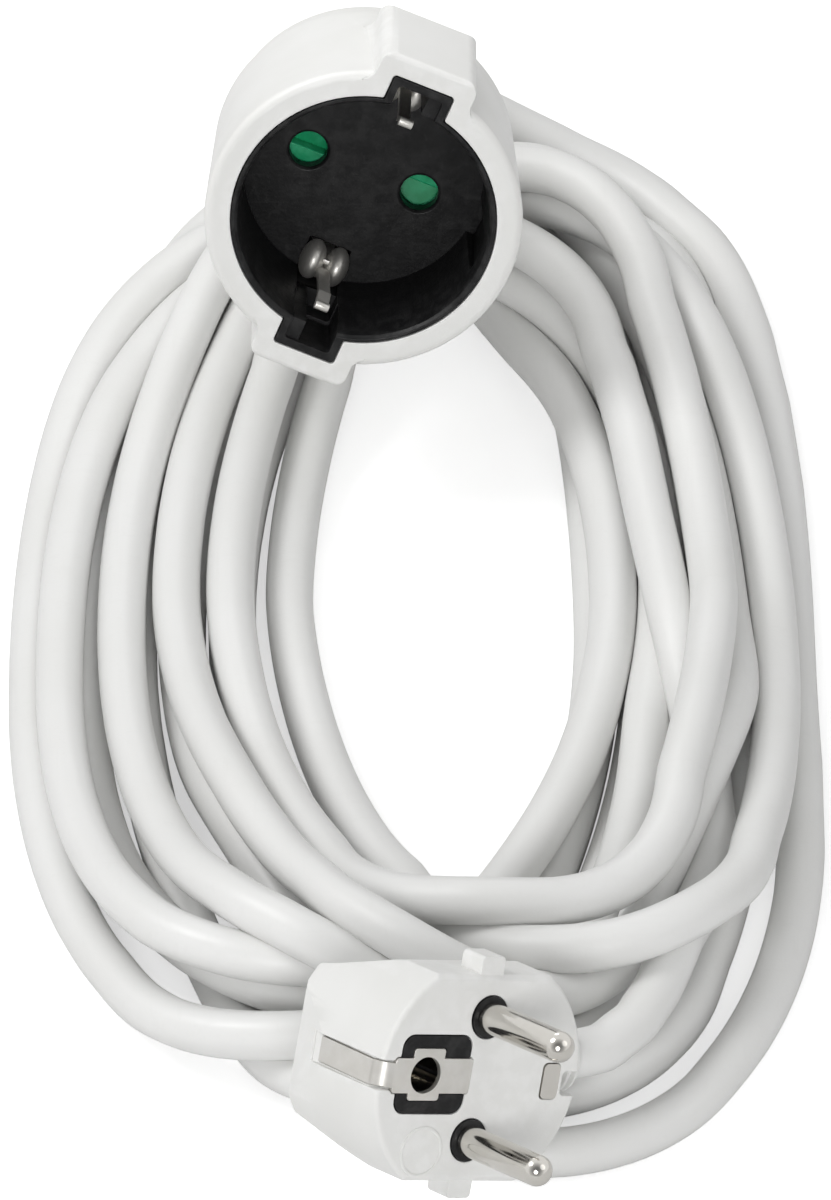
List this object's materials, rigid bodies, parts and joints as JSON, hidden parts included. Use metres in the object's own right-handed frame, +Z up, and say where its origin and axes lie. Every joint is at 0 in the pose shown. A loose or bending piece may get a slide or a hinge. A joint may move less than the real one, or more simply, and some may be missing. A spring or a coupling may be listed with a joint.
{
  "type": "extension cord",
  "caption": "Coiled white mains extension cord with a moulded earthed coupler socket with shutter at one end and an angled earthed plug with round pins at the other.",
  "frame": {"origin": "bottom centre of the bounding box, on the floor that the coil lies on", "axes": "+Y along the coil from the plug towards the coupler, +Z up, +X to the right when seen from the plug's end"},
  "size_m": [0.126, 0.2764, 0.0808],
  "materials": {
    "moulded_white": "satin",
    "cord_white": "satin",
    "black_insert": "satin",
    "carrier_grey": "matt",
    "shutter_green": "satin",
    "spring_steel": "drawn wire",
    "contact_brass": "stamped",
    "nickel_plate": "nickel plated",
    "core_brown": "satin",
    "core_blue": "satin",
    "core_green_yellow": "satin"
  },
  "bodies": {
    "cord_set": {"socket_housing": "moulded_white", "socket_insert": "black_insert", "contact_carrier": "carrier_grey", "shutter_spring": "spring_steel", "contact_live": "contact_brass", "contact_neutral": "contact_brass", "earth_bow": "nickel_plate", "socket_core_brown": "core_brown", "socket_core_blue": "core_blue", "socket_core_earth": "core_green_yellow", "plug_body": "moulded_white", "plug_insert": "black_insert", "pin_live": "nickel_plate", "pin_neutral": "nickel_plate", "earth_clip": "nickel_plate", "earth_spring": "nickel_plate", "earth_sleeve": "nickel_plate", "plug_core_brown": "core_brown", "plug_core_blue": "core_blue", "plug_core_earth": "core_green_yellow", "cord_coil": "cord_white", "lead_to_socket": "cord_white", "lead_to_plug": "cord_white"},
    "shutter": {"shutter": "shutter_green"}
  },
  "joints": [
    {"name": "shutter_turn", "type": "hinge", "parent": "cord_set", "child": "shutter", "pos_m": [-0.00815, 0.08002, 0.04658], "axis": [0, -0.9511, 0.309], "range_deg": [0, 40], "stiffness_Nm_per_rad": 0.005, "springref_deg": -11.46, "deforming": ["shutter_spring"]}
  ]
}
